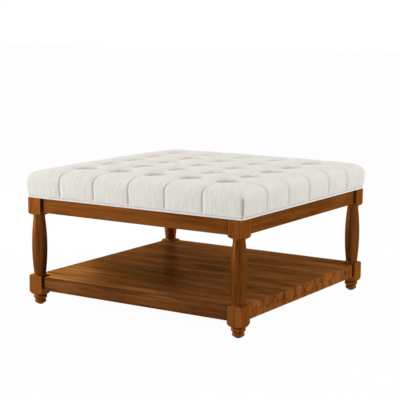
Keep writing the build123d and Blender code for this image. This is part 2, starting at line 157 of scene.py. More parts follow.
leg_profile = [
    (0.0145, 0.0045),
    *round_stretch((0.0150, 0.0050), (0.0160, 0.0160), 0.0035, 8),
    (0.0160, 0.0175),
    *round_stretch((0.0172, 0.0178), (0.0184, 0.0336), 0.0044, 12),
    *round_stretch((0.0232, 0.0338), (past_corner, 0.0470), 0.0020, 6),
    (past_corner, 0.0950),
    *round_stretch((past_corner, 0.0950), (0.0240, 0.1000), 0.0016, 5),
    (0.0210, 0.1002),
    (0.0207, 0.1025),
    *round_stretch((0.0192, 0.1030), (0.0192, 0.2870), 0.0058, 22),
    (0.0190, 0.2900),
    (0.0190, 0.2990),
    (0.0228, 0.2995),
    *round_stretch((0.0230, 0.2996), (past_corner, 0.3070), 0.0016, 5),
    (past_corner, frame_top),
]

bpy.ops.object.select_all(action="DESELECT")
bpy.ops.mesh.primitive_circle_add(vertices=96, radius=leg_profile[0][0], fill_type="NGON",
                                  location=(leg_axis, -leg_axis, leg_profile[0][1]))
leg_turning = bpy.context.object
bpy.ops.object.mode_set(mode="EDIT")
bpy.ops.mesh.select_all(action="SELECT")
for (r0, z0), (r1, z1) in zip(leg_profile, leg_profile[1:]):
    if abs(r1 - r0) + abs(z1 - z0) < 1e-7:
        continue
    bpy.ops.mesh.extrude_region_move(TRANSFORM_OT_translate={"value": (0, 0, z1 - z0)})
    bpy.ops.transform.resize(value=(r1 / r0, r1 / r0, 1), center_override=(leg_axis, -leg_axis, z1))
bpy.ops.mesh.select_mode(type="EDGE")
bpy.ops.mesh.select_all(action="DESELECT")
bpy.ops.mesh.select_non_manifold()
bpy.ops.mesh.edge_face_add()
bpy.ops.mesh.select_all(action="SELECT")
bpy.ops.mesh.normals_make_consistent(inside=False)
bpy.ops.object.mode_set(mode="OBJECT")

bpy.ops.object.select_all(action="DESELECT")
bpy.ops.mesh.primitive_cube_add(size=1, location=(leg_axis, -leg_axis, frame_top / 2))
leg_bar = bpy.context.object
bpy.ops.object.mode_set(mode="EDIT")
bar_length = 0.5
bpy.ops.transform.resize(value=(leg_stock, leg_stock, bar_length),
                         center_override=(leg_axis, -leg_axis, frame_top / 2))
bpy.ops.object.mode_set(mode="OBJECT")
bpy.ops.object.transform_apply(location=True, rotation=True, scale=True)
near_corner = leg_stock * 0.3
for inner, ease, rounds in ((True, inner_flat, 1), (False, arris_ease, 2)):
    eased = leg_bar.data.attributes.new("bevel_weight_edge", "FLOAT", "EDGE")
    for edge in leg_bar.data.edges:
        low, high = (leg_bar.data.vertices[v].co for v in edge.vertices)
        upright = abs(low.z - high.z) > bar_length / 2
        at_inner = low.x < leg_axis - near_corner and low.y > near_corner - leg_axis
        eased.data[edge.index].value = float(upright and at_inner == inner)
    arris = leg_bar.modifiers.new("arris", "BEVEL")
    arris.width = ease
    arris.segments = rounds
    arris.limit_method = "WEIGHT"
    bpy.ops.object.modifier_apply(modifier="arris")
    leg_bar.data.attributes.remove(leg_bar.data.attributes["bevel_weight_edge"])

leg_cut = leg_turning.modifiers.new("square_stock", "BOOLEAN")
leg_cut.operation = "INTERSECT"
leg_cut.solver = "EXACT"
leg_cut.object = leg_bar
bpy.ops.object.select_all(action="DESELECT")
leg_turning.select_set(True)
bpy.context.view_layer.objects.active = leg_turning
bpy.ops.object.modifier_apply(modifier="square_stock")
bpy.data.objects.remove(leg_bar)
bpy.ops.object.transform_apply(location=True, rotation=True, scale=True)
bpy.ops.object.shade_smooth_by_angle(angle=math.radians(50))
flat_faces = leg_turning.modifiers.new("flat_faces", "WEIGHTED_NORMAL")
flat_faces.keep_sharp = True
bpy.ops.object.modifier_apply(modifier="flat_faces")


def stretched(tree, place, along, share, start=(0, 0, 0)):
    """Places for a pattern that is drawn out along one axis."""
    mapping = tree.nodes.new("ShaderNodeMapping")
    scale = [1.0, 1.0, 1.0]
    scale["XYZ".index(along)] = share
    mapping.inputs["Scale"].default_value = scale
    mapping.inputs["Location"].default_value = start
    tree.links.new(place, mapping.inputs["Vector"])
    return mapping.outputs[0]


def mottle(tree, place, scale, detail, roughness=0.5, distortion=0.0):
    """A soft, uneven pattern."""
    cloud = tree.nodes.new("ShaderNodeTexNoise")
    cloud.inputs["Scale"].default_value = scale
    cloud.inputs["Detail"].default_value = detail
    cloud.inputs["Roughness"].default_value = roughness
    cloud.inputs["Distortion"].default_value = distortion
    tree.links.new(place, cloud.inputs["Vector"])
    return cloud.outputs["Fac"]


def blended(tree, first, second, share):
    """Two patterns laid over each other."""
    mix = tree.nodes.new("ShaderNodeMix")
    mix.inputs["Factor"].default_value = share
    tree.links.new(first, mix.inputs[2])
    tree.links.new(second, mix.inputs[3])
    return mix.outputs[0]


def graded(tree, value, low, high, at_low, at_high):
    """A value brought from one range into another, and held at its ends."""
    grade = tree.nodes.new("ShaderNodeMapRange")
    grade.inputs["From Min"].default_value = low
    grade.inputs["From Max"].default_value = high
    grade.inputs["To Min"].default_value = at_low
    grade.inputs["To Max"].default_value = at_high
    tree.links.new(value, grade.inputs["Value"])
    return grade.outputs[0]


def coloured(tree, value, *stops):
    """Colours picked by a value, each stop with its position and its colour."""
    ramp = tree.nodes.new("ShaderNodeValToRGB")
    ends = ramp.color_ramp.elements
    ends[0].position, ends[0].color = stops[0][0], (*stops[0][1], 1)
    ends[1].position, ends[1].color = stops[-1][0], (*stops[-1][1], 1)
    for position, colour in stops[1:-1]:
        ends.new(position).color = (*colour, 1)
    tree.links.new(value, ramp.inputs["Fac"])
    return ramp.outputs["Color"]


def deepened(tree, colour, tone, share=1.0):
    """A colour multiplied by a tone, over the share that is given."""
    mix = tree.nodes.new("ShaderNodeMix")
    mix.data_type = "RGBA"
    mix.blend_type = "MULTIPLY"
    tree.links.new(colour, mix.inputs[6])
    tree.links.new(tone, mix.inputs[7])
    if isinstance(share, float):
        mix.inputs["Factor"].default_value = share
    else:
        tree.links.new(share, mix.inputs["Factor"])
    return mix.outputs[2]


def worked_out(tree, operation, value, other):
    """A sum or another operation on a value. The other part is a number or a socket."""
    step = tree.nodes.new("ShaderNodeMath")
    step.operation = operation
    tree.links.new(value, step.inputs[0])
    if isinstance(other, float):
        step.inputs[1].default_value = other
    else:
        tree.links.new(other, step.inputs[1])
    return step.outputs[0]


def stained_wood(name, along, pale, middle, dark, tone_seed, shine=0.3, lacquer=0.2, board_width=None,
                 turned=None):
    """Walnut stain under a satin lacquer: long grain streaks, fine pores and soft clouds of tone.

    The lacquer is toned, so its gloss takes the stain's colour: it is a share of Metallic.
    """
    wood = bpy.data.materials.new(name)
    wood.use_nodes = True
    tree = wood.node_tree
    new, link = tree.nodes.new, tree.links.new
    shader = tree.nodes["Principled BSDF"]
    place = new("ShaderNodeTexCoord").outputs["Object"]
    if board_width:
        # each stave is cut from another board, so its grain starts elsewhere
        split = new("ShaderNodeSeparateXYZ")
        link(place, split.inputs[0])
        lane = worked_out(tree, "MULTIPLY", split.outputs["Y"], 1 / board_width)
        board = new("ShaderNodeMath")
        board.operation = "FLOOR"
        link(lane, board.inputs[0])
        jump = new("ShaderNodeVectorMath")
        jump.operation = "MULTIPLY"
        jump.inputs[1].default_value = (3.17, 0.0, 1.31)
        link(board.outputs[0], jump.inputs[0])
        shifted = new("ShaderNodeVectorMath")
        shifted.operation = "ADD"
        link(place, shifted.inputs[0])
        link(jump.outputs[0], shifted.inputs[1])
        place = shifted.outputs[0]
        board_tone = new("ShaderNodeTexWhiteNoise")
        board_tone.noise_dimensions = "1D"
        link(board.outputs[0], board_tone.inputs["W"])
    grain_place = stretched(tree, place, along, 0.05, (tone_seed, tone_seed * 0.7, tone_seed * 1.3))
    grain = mottle(tree, grain_place, scale=85, detail=7, roughness=0.62, distortion=0.5)
    cloud_place = stretched(tree, place, along, 0.28, (tone_seed * 2, tone_seed, -tone_seed))
    cloud = mottle(tree, cloud_place, scale=13, detail=3)
    streaks = blended(tree, grain, cloud, share=0.42)
    colour = coloured(tree, streaks, (0.36, dark), (0.5, middle), (0.66, pale))
    # open pores, drawn out along the grain and filled dark by the stain
    pores = mottle(tree, stretched(tree, place, along, 0.03), scale=620, detail=2)
    pore_tone = graded(tree, pores, 0.30, 0.46, 0.62, 1.0)
    colour = deepened(tree, colour, pore_tone, share=0.8)
    if board_width:
        # the staves' sawn ends lose the grain's streaks, and drink the stain in darker patches
        facing = new("ShaderNodeSeparateXYZ")
        link(new("ShaderNodeNewGeometry").outputs["Normal"], facing.inputs[0])
        sawn, long_edge = new("ShaderNodeMath"), new("ShaderNodeMath")
        for side, axis in ((sawn, "X"), (long_edge, "Y")):
            side.operation = "ABSOLUTE"
            link(facing.outputs[axis], side.inputs[0])
        evened = new("ShaderNodeMix")
        evened.data_type = "RGBA"
        evened.inputs[7].default_value = (*[0.9 * c for c in middle], 1)
        link(graded(tree, sawn.outputs[0], 0.8, 1.0, 0.0, 0.75), evened.inputs["Factor"])
        link(colour, evened.inputs[6])
        patches = mottle(tree, place, scale=40, detail=3, distortion=0.6)
        patch_tone = coloured(tree, patches, (0.40, (0.80, 0.70, 0.62)), (0.56, (1.35, 1.35, 1.35)))
        sawn_share = graded(tree, sawn.outputs[0], 0.8, 1.0, 0.0, 1.0)
        colour = deepened(tree, evened.outputs[2], patch_tone, sawn_share)
        # a fine dark line where two staves meet
        from_joint = worked_out(tree, "PINGPONG", lane, 0.5)
        colour = deepened(tree, colour, graded(tree, from_joint, 0.0, 0.040, 0.22, 1.0))
        # painted light: the long edges, facing front and back, are made up to 2.9 times lighter, as if more
        # brightly lit
        colour = deepened(tree, colour, graded(tree, long_edge.outputs[0], 0.7, 1.0, 1.0, 2.9))
        # no two boards take the stain alike
        colour = deepened(tree, colour, graded(tree, board_tone.outputs["Value"], 0.0, 1.0, 0.84, 1.12))
    if turned:
        # the turned length, and the foot less so, are coloured darker than the planed blocks
        height = new("ShaderNodeSeparateXYZ")
        link(place, height.inputs[0])
        turned_darkening = new("ShaderNodeFloatCurve")
        link(height.outputs["Z"], turned_darkening.inputs["Value"])
        curve = turned_darkening.mapping.curves[0]
        curve.points[0].location = (0.0, 0.8)
        curve.points[1].location = (1.0, 1.0)
        for level, tone in turned:
            curve.points.new(level, tone)
        turned_darkening.mapping.update()
        colour = deepened(tree, colour, turned_darkening.outputs[0])
    link(colour, shader.inputs["Base Color"])
    link(graded(tree, grain, 0.3, 0.7, shine + 0.10, shine - 0.04), shader.inputs["Roughness"])
    shader.inputs["Metallic"].default_value = lacquer
    shader.inputs["Specular IOR Level"].default_value = 0.0
    shader.inputs["Specular Tint"].default_value = (1.0, 0.62, 0.34, 1)
    bump = new("ShaderNodeBump")
    bump.inputs["Strength"].default_value = 0.05
    bump.inputs["Distance"].default_value = 0.0003
    link(worked_out(tree, "ADD", grain, pore_tone), bump.inputs["Height"])
    link(bump.outputs[0], shader.inputs["Normal"])
    return wood


leg_stain = stained_wood("leg_walnut_stain", "Z", pale=(0.28, 0.100, 0.024),
                         middle=(0.215, 0.067, 0.013), dark=(0.125, 0.033, 0.005), tone_seed=0.37,
                         shine=0.36, lacquer=0.62,
                         turned=((0.030, 0.85), (0.046, 0.95), (0.096, 0.95), (0.106, 0.70),
                                 (0.285, 0.70), (0.306, 0.95)))
leg_turning.data.materials.clear()
leg_turning.data.materials.append(leg_stain)
for turns, corner in enumerate(("front_right", "back_right", "back_left", "front_left")):
    leg = leg_turning.copy()
    leg.data = leg_turning.data.copy()
    leg.name = f"turned_leg_{corner}"
    bpy.context.collection.objects.link(leg)
    leg.rotation_euler = (0, 0, turns * math.pi / 2)
    bpy.ops.object.select_all(action="DESELECT")
    leg.select_set(True)
    bpy.context.view_layer.objects.active = leg
    bpy.ops.object.transform_apply(location=True, rotation=True, scale=True)
    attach(leg, "root")
    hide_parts(f"leg_{corner}")
bpy.data.objects.remove(leg_turning)

# Glides: moulded brown caps on steel pins, knocked into the end grain of each
# foot so that the wood stands clear of the floor.
glide_plastic = bpy.data.materials.new("glide_plastic")
glide_plastic.use_nodes = True
glide_tree = glide_plastic.node_tree
glide_shader = glide_tree.nodes["Principled BSDF"]
glide_place = glide_tree.nodes.new("ShaderNodeTexCoord").outputs["Object"]
glide_colour = coloured(glide_tree, mottle(glide_tree, glide_place, scale=900, detail=2),
                        (0.0, (0.035, 0.017, 0.009)), (1.0, (0.075, 0.038, 0.02)))
glide_tree.links.new(glide_colour, glide_shader.inputs["Base Color"])
glide_shader.inputs["Roughness"].default_value = 0.5

glide_height = leg_profile[0][1]
glide_radius = 0.010
glide_round = 0.0025
for name, x, y in (("front_right", 1, -1), ("back_right", 1, 1), ("back_left", -1, 1),
                   ("front_left", -1, -1)):
    bpy.ops.object.select_all(action="DESELECT")
    bpy.ops.mesh.primitive_cylinder_add(vertices=48, radius=glide_radius, depth=glide_height,
                                        location=(x * leg_axis, y * leg_axis, glide_height / 2))
    glide = bpy.context.object
    glide.name = f"foot_glide_{name}"
    bpy.ops.object.transform_apply(location=True, rotation=True, scale=True)
    for edge in glide.data.edges:
        edge.select = all(glide.data.vertices[v].co.z < 0.0001 for v in edge.vertices)
    bpy.ops.object.mode_set(mode="EDIT")
    bpy.ops.mesh.select_mode(type="EDGE")
    bpy.ops.mesh.bevel(offset=glide_round, segments=4, affect="EDGES")
    bpy.ops.object.mode_set(mode="OBJECT")
    bpy.ops.object.shade_smooth_by_angle(angle=math.radians(30))
    glide.data.materials.append(glide_plastic)
    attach(glide, "root")
    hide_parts("glides")

# Aprons: four boards of the same stained hardwood, planed square, with their
# edges eased. Corner blocks hold them, a reveal short of the legs.
apron_reach = 0.349
apron_face = 0.3985
apron_thickness = 0.020
apron_height = 0.048
apron_ease = 0.0014
apron_stains = {
    "X": stained_wood("apron_stain_across", "X", pale=(0.28, 0.096, 0.020),
                      middle=(0.228, 0.071, 0.013), dark=(0.145, 0.039, 0.006), tone_seed=1.9,
                      shine=0.42, lacquer=0.08),
    "Y": stained_wood("apron_stain_along", "Y", pale=(0.26, 0.089, 0.018),
                      middle=(0.200, 0.062, 0.011), dark=(0.130, 0.036, 0.006), tone_seed=2.6,
                      shine=0.42, lacquer=0.12),
}
for turns, side in enumerate(("front", "right", "back", "left")):
    bpy.ops.object.select_all(action="DESELECT")
    bpy.ops.mesh.primitive_cube_add(size=1, location=(0, 0, 0))
    apron = bpy.context.object
    apron.name = f"apron_board_{side}"
    bpy.ops.object.mode_set(mode="EDIT")
    bpy.ops.transform.resize(value=(2 * apron_reach, apron_thickness, apron_height),
                             center_override=(0, 0, 0))
    bpy.ops.transform.translate(value=(0, apron_thickness / 2 - apron_face, frame_top - apron_height / 2))
    bpy.ops.mesh.subdivide(number_cuts=1)
    bpy.ops.object.mode_set(mode="OBJECT")
    eased = apron.modifiers.new("eased", "BEVEL")
    eased.width = apron_ease
    eased.segments = 3
    eased.limit_method = "ANGLE"
    bpy.ops.object.modifier_apply(modifier="eased")
    apron.rotation_euler = (0, 0, turns * math.pi / 2)
    bpy.ops.object.transform_apply(location=True, rotation=True, scale=True)
    bpy.ops.object.shade_smooth_by_angle(angle=math.radians(40))
    apron.data.materials.append(apron_stains["X" if turns % 2 == 0 else "Y"])
    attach(apron, "root")
    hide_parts(f"apron_{side}")

# Corner blocks: hardwood offcuts glued into the inner corners of the frame. The solids have their shape, and
# get a near-black colour: painted shade for the dark reveals beside the legs' blocks.
painted_shade_blocks = stained_wood("corner_block_painted_shade", "X", pale=(0.050, 0.016, 0.004),
                           middle=(0.030, 0.009, 0.002), dark=(0.014, 0.004, 0.001), tone_seed=4.2,
                           shine=0.5, lacquer=0.0)
for corner in ("front_left", "front_right", "back_right", "back_left"):
    block = nodes[f"corner_block_{corner}"]
    block.data.materials.clear()
    block.data.materials.append(painted_shade_blocks)

# Hanger bolts, washers, nuts and screws: zinc-plated steel, dull and slightly
# mottled, as it comes from the barrel.
zinc = bpy.data.materials.new("zinc_plated_steel")
zinc.use_nodes = True
zinc_tree = zinc.node_tree
zinc_shader = zinc_tree.nodes["Principled BSDF"]
zinc_shader.inputs["Metallic"].default_value = 1.0
zinc_place = zinc_tree.nodes.new("ShaderNodeTexCoord").outputs["Object"]
zinc_mottle = mottle(zinc_tree, zinc_place, scale=350, detail=4)
zinc_colour = coloured(zinc_tree, zinc_mottle, (0.0, (0.42, 0.43, 0.45)), (1.0, (0.68, 0.68, 0.66)))
zinc_tree.links.new(zinc_colour, zinc_shader.inputs["Base Color"])
zinc_tree.links.new(graded(zinc_tree, zinc_mottle, 0.0, 1.0, 0.28, 0.5), zinc_shader.inputs["Roughness"])
for name in ("frame_bolts", "frame_nuts", "frame_washers", "shelf_bolts", "shelf_nuts",
             "shelf_washers", "top_screws", "twine_staples"):
    nodes[name].data.materials.clear()
    nodes[name].data.materials.append(zinc)

# Shelf: twelve staves of stained hardwood, glued edge to edge, with a fine
# groove along each joint. The board is notched round the legs' blocks. The
# solids have their shape, and each stave gets a board's own grain and tone.
shelf_stain = stained_wood("shelf_walnut_stain", "X", pale=(0.47, 0.185, 0.055),
                           middle=(0.250, 0.083, 0.020), dark=(0.105, 0.031, 0.006), tone_seed=3.3,
                           shine=0.28, lacquer=0.14, board_width=0.797 / 12)
for i in range(12):
    stave = nodes[f"shelf_stave_{i + 1:02d}"]
    stave.data.materials.clear()
    stave.data.materials.append(shelf_stain)

# Deck: 12 mm plywood under the cushion, bare inside the frame.
ply = stained_wood("bare_plywood", "Y", pale=(0.62, 0.47, 0.29), middle=(0.54, 0.39, 0.23),
                   dark=(0.43, 0.30, 0.17), tone_seed=5.1, shine=0.65, lacquer=0.0)
nodes["top_deck"].data.materials.clear()
nodes["top_deck"].data.materials.append(ply)

# Cushion: linen over foam and wadding. Twenty-five buttons on waxed twine draw the
# cloth down through the foam to the deck, and each outer button leaves a pleat over
# the roll and down the side. The hem is stapled under the deck.
widest = 0.4130
crown = 0.4570
roll = 0.037
top_half = widest - roll
corner_round = 0.012
tuft_pitch = 0.135
tuft_rows = [tuft_pitch * (i - 2) for i in range(5)]
outer_row = tuft_rows[-1]
tuft_floor = 0.4302

# stations across the cloth, closer together at the rows of tufts and at the corners
near_row = [0.0015, 0.003, 0.005, 0.008, 0.012, 0.017, 0.0225, 0.0285, 0.035, 0.0415, 0.048, 0.0545, 0.061]
past_rows = [0.069, 0.077, 0.085]
near_edge = [0.014, 0.0085, 0.0045, 0.0018, 0.0]
half_stations = [0.0]
for row in tuft_rows[2:-1]:
    half_stations += [row + step for step in near_row] + [row + tuft_pitch / 2]
    half_stations += [row + tuft_pitch - step for step in near_row[::-1]] + [row + tuft_pitch]
half_stations += [outer_row + step for step in near_row + past_rows] + [top_half - step for step in near_edge]
edge_reach = top_half - outer_row
stations = [-place for place in half_stations[:0:-1]] + half_stations
count = len(stations)

# the side as inset and level: over the roll, down to the welt, and round the deck to its hem
side = []
roll_steps, wall_steps, foot_steps = 14, 11, 5
for i in range(1, roll_steps + 1):
    turn = math.pi / 2 * i / roll_steps
    side.append((roll * (1 - math.sin(turn)), crown - roll * (1 - math.cos(turn))))
side_foot = 0.3700
foot_lean = 0.0030
roll_foot = side[-1][1]
for i in range(1, wall_steps + 1):
    share = i / wall_steps
    side.append((foot_lean * share**2, roll_foot - (roll_foot - side_foot) * share))
foot_tuck, foot_drop = 0.0072, 0.0080
for i in range(1, foot_steps + 1):
    turn = math.pi / 2 * i / foot_steps
    side.append((foot_lean + foot_tuck * (1 - math.cos(turn)), side_foot - foot_drop * math.sin(turn)))
side += [(0.0106, 0.3592), (0.0106, 0.3568), (0.0120, 0.3561), (0.0358, 0.3561), (0.0358, 0.3570),
         (0.0127, 0.3571), (0.0127, 0.36935), (0.0220, 0.36945)]

ring_walk = [(i, 0) for i in range(count - 1)] + [(count - 1, j) for j in range(count - 1)] \
    + [(i, count - 1) for i in range(count - 1, 0, -1)] + [(0, j) for j in range(count - 1, 0, -1)]


def on_ring(value, inset):
    """A station's place on a ring, with the rows of tufts kept where they are."""
    size = abs(value)
    if size > outer_row:
        size = outer_row + (size - outer_row) * (widest - inset - outer_row) / edge_reach
    return math.copysign(size, value)


def round_corner(x, y, half, radius):
    """Draws a square ring's corner in to a quarter round."""
    a, b = abs(x) - (half - radius), abs(y) - (half - radius)
    if radius <= 0 or a <= 0 or b <= 0:
        return x, y
    drawn = max(a, b) / math.hypot(a, b)
    return (math.copysign(half - radius + a * drawn, x), math.copysign(half - radius + b * drawn, y))


points, drops = [], []
corner_fade, foot_round = 0.08, 0.0065
for y in stations:
    for x in stations:
        shell = max(abs(x), abs(y))
        radius = corner_round * max(0.0, (shell - top_half + corner_fade) / corner_fade)
        points.append((*round_corner(x, y, shell, radius), crown))
        drops.append(0.0)
before, walked = (roll, crown), 0.0
for inset, z in side:
    walked += math.hypot(inset - before[0], z - before[1])
    before = (inset, z)
    radius = corner_round if z > side_foot else foot_round
    for i, j in ring_walk:
        x, y = on_ring(stations[i], inset), on_ring(stations[j], inset)
        points.append((*round_corner(x, y, widest - inset, radius), z))
        drops.append(walked)

faces, face_uv = [], []
for j in range(count - 1):
    for i in range(count - 1):
        a = j * count + i
        quad = (a, a + 1, a + count + 1, a + count)
        faces.append(quad)
        face_uv.append([points[v][:2] for v in quad])
perimeter = len(ring_walk)
rings = [[j * count + i for i, j in ring_walk]]
rings += [[count * count + k * perimeter + s for s in range(perimeter)] for k in range(len(side))]
for upper, lower in zip(rings, rings[1:]):
    for s in range(perimeter):
        t = (s + 1) % perimeter
        quad = (upper[s], lower[s], lower[t], upper[t])
        faces.append(quad)
        quarter = s // (count - 1)
        uv = []
        for v in quad:
            x, y, fall = points[v][0], points[v][1], top_half + drops[v]
            uv.append(((x, -fall), (y, fall), (x, fall), (y, -fall))[quarter])
        face_uv.append(uv)

# the cloth drawn down at the buttons, and folded along the rows between them and down the side
place = np.array(points)
X, Y, Z = place.T.copy()
row_x = np.min([np.abs(X - row) for row in tuft_rows], axis=0)
row_y = np.min([np.abs(Y - row) for row in tuft_rows], axis=0)
pit_mouth, button_seat, pit_depth = 0.0440, 0.0085, crown - tuft_floor
valley_depth, valley_between, valley_width = 0.0088, 0.0054, 0.033
pit_lip, fold_reach = 0.09, 0.059
pit = np.zeros(len(X))
fold_x, fold_y = np.zeros(len(X)), np.zeros(len(X))
for a, row_a in enumerate(tuft_rows):
    for b, row_b in enumerate(tuft_rows):
        wander = math.sin(12.9 * a + 78.2 * b)
        dx, dy = X - row_a, Y - row_b
        away = np.hypot(dx, dy)
        mouth = pit_mouth * (1 + 0.05 * wander - 0.05 * np.cos(4 * np.arctan2(dy, dx)))
        share = np.clip((mouth - away) / (mouth - button_seat), 0, 1)
        eased = (np.sqrt(share**2 + pit_lip**2) - pit_lip) / (math.sqrt(1 + pit_lip**2) - pit_lip)
        bowl = 0.45 * (1 - (1 - eased) ** 2) + 0.55 * eased**3
        pit = np.maximum(pit, (pit_depth - 2 * valley_depth) * bowl)
        # folds run from each button along both rows, and fade halfway to the next
        fade = np.clip(1 - (away - button_seat) / fold_reach, 0, 1)
        fold_x = np.maximum(fold_x, fade * (np.abs(dy) < tuft_pitch / 2))
        fold_y = np.maximum(fold_y, fade * (np.abs(dx) < tuft_pitch / 2))
crease_depth, crease_left, crease_width, pleat_depth, pleat_start = 0.0050, 0.0006, 0.0042, 0.0036, 0.030
outer_x = np.clip((np.abs(Y) - outer_row) / pleat_start, 0, 1)
outer_y = np.clip((np.abs(X) - outer_row) / pleat_start, 0, 1)
crease_x = np.exp(-(row_x / crease_width) ** 1.4) \
    * np.maximum(crease_depth * fold_x + crease_left, pleat_depth * outer_x)
crease_y = np.exp(-(row_y / crease_width) ** 1.4) \
    * np.maximum(crease_depth * fold_y + crease_left, pleat_depth * outer_y)
# between the folds the wadding stands up as a pillow, and it flattens out past the outer rows
shell = np.maximum(np.abs(X), np.abs(Y))
reach = np.clip(1 - (shell - outer_row) / 0.090, 0, 1)
reach = reach**2 * (3 - 2 * reach)
valley_more = valley_depth - valley_between
valley = np.exp(-(row_x / valley_width) ** 2) * (valley_between + valley_more * fold_x) \
    + np.exp(-(row_y / valley_width) ** 2) * (valley_between + valley_more * fold_y)
within = (Z > crown - roll) & (shell <= top_half + 0.0001)
sunk = np.where(within, np.minimum(pit + crease_x + crease_y + valley * reach, pit_depth), 0)
place[:, 2] -= sunk
# the wadding thins towards the edges, and more so at the corners
edge_droop, corner_droop, droop_foot = 0.0100, 0.0045, 0.372
out_x, out_y = (np.clip((np.abs(across) - 0.20) / 0.20, 0, 1) ** 1.5 for across in (X, Y))
droop = edge_droop * np.clip((shell - 0.18) / 0.20, 0, 1) ** 1.8 + corner_droop * out_x * out_y
place[:, 2] -= droop * np.clip((Z - droop_foot) / (crown - droop_foot), 0, 1)

# down the roll and the side, each pleat is a narrow tuck with a raised lip at its right
ring_vertex = np.arange(len(X)) >= count * count
front_like = np.abs(Y) >= np.abs(X)
offset = np.where(front_like, X, Y)
signed = np.full(len(X), 1.0)
for row in tuft_rows:
    signed = np.where(np.abs(offset - row) < np.abs(signed), offset - row, signed)
tuck = 0.0034 * np.exp(-(np.abs(signed) / 0.0030) ** 1.6)
lip = 0.0007 * np.exp(-(((signed - 0.0095) / 0.0050) ** 2))
swell = 0.0014 * np.clip(1 - np.abs(signed) / 0.045, 0, 1) ** 2
# the cover is sewn up each corner, from the welt to the lower half of the roll
seam_depth, seam_width, seam_top, welt_line = 0.0016, 0.0022, 0.436, 0.3615
from_corner = np.abs(np.abs(X) - np.abs(Y))
level = np.clip((Z - welt_line) / 0.010, 0, 1)
seam = seam_depth * np.exp(-((from_corner / seam_width) ** 2)) * np.clip((seam_top - Z) / 0.010, 0, 1)
inward = np.where(ring_vertex, (tuck - lip + swell) * level + seam * level, 0)
tilt = np.clip((Z - (crown - roll)) / roll, 0, 1)
flat_share = np.sqrt(np.clip(1 - tilt**2, 0, 1))
at_seam = seam * level * ring_vertex
place[:, 1] -= np.sign(Y) * np.where(front_like, inward * flat_share, at_seam)
place[:, 0] -= np.sign(X) * np.where(front_like, at_seam, inward * flat_share)
place[:, 2] -= np.where(ring_vertex, inward * tilt, 0)
# painted shade: the cloth's colour is darkened where folded cloth keeps light from itself, at the seams, in
# the pleats and down the pits
side_shade = 0.45 * (inward / 0.0046) ** 2 + 1.2 * seam / seam_depth * level
pit_shade = within * ((pit + 0.5 * (crease_x + crease_y)) / 0.0052) ** 1.15
painted_fold_shade = np.clip(np.where(ring_vertex, side_shade, pit_shade), 0, 1)

cushion_mesh = bpy.data.meshes.new("tufted_cushion")
cushion_mesh.from_pydata([tuple(p) for p in place], [], faces)
cloth_map = cushion_mesh.uv_layers.new(name="cloth")
cloth_map.data.foreach_set("uv", [c for uv in face_uv for pair in uv for c in pair])
shade_values = cushion_mesh.attributes.new("painted_fold_shade", "FLOAT", "POINT")
shade_values.data.foreach_set("value", painted_fold_shade.astype("f"))
cushion = bpy.data.objects.new("tufted_cushion", cushion_mesh)
bpy.context.collection.objects.link(cushion)
bpy.ops.object.select_all(action="DESELECT")
cushion.select_set(True)
bpy.context.view_layer.objects.active = cushion

# the wadding swells the cloth between its folds, which the twine and the stitches hold
on_line = 0.0010
held = (Z < 0.3640) | (sunk > pit_depth * 0.80) | (ring_vertex & (np.abs(signed) < on_line)) \
    | (ring_vertex & (from_corner < on_line) & (Z < 0.434)) \
    | (within & (crease_x + crease_y > 0.0030) & (np.minimum(row_x, row_y) < on_line))
pins = cushion.vertex_groups.new(name="held")
pins.add([int(v) for v in np.nonzero(held)[0]], 1.0, "REPLACE")
wadding = cushion.modifiers.new("wadding", "CLOTH")
wadding.settings.vertex_group_mass = "held"
wadding.settings.quality = 5
wadding.settings.mass = 0.3
wadding.settings.tension_stiffness = 30
wadding.settings.compression_stiffness = 30
wadding.settings.shear_stiffness = 10
wadding.settings.bending_stiffness = 2.0
wadding.settings.use_pressure = True
wadding.settings.uniform_pressure_force = 4.0
wadding.settings.effector_weights.gravity = 0
wadding.collision_settings.use_collision = False
last_moment = 14
wadding.point_cache.frame_start, wadding.point_cache.frame_end = 1, last_moment
for moment in range(1, last_moment + 1):
    bpy.context.scene.frame_set(moment)
swollen = cushion.evaluated_get(bpy.context.evaluated_depsgraph_get()).data
grown = np.empty(len(place) * 3)
swollen.vertices.foreach_get("co", grown)
grown = grown.reshape(-1, 3) - place
length = np.linalg.norm(grown, axis=1)
pit_growth, panel_growth = 0.0018, 0.0040
most = np.where(pit > 0.0005, pit_growth, panel_growth)
grown *= (most * np.tanh(length / most) / np.maximum(length, 1e-9))[:, None]
cushion.modifiers.remove(wadding)
cushion.data.vertices.foreach_set("co", (place + grown).ravel())
bpy.context.scene.frame_set(1)

finer = cushion.modifiers.new("finer", "SUBSURF")
finer.levels = finer.render_levels = 1
bpy.ops.object.modifier_apply(modifier="finer")
bpy.ops.object.mode_set(mode="EDIT")
bpy.ops.mesh.select_mode(type="EDGE")
bpy.ops.mesh.select_all(action="DESELECT")
bpy.ops.mesh.select_non_manifold()
bpy.ops.mesh.edge_face_add()
bpy.ops.mesh.select_all(action="SELECT")
bpy.ops.mesh.normals_make_consistent(inside=False)
bpy.ops.object.mode_set(mode="OBJECT")
bpy.ops.object.shade_smooth()


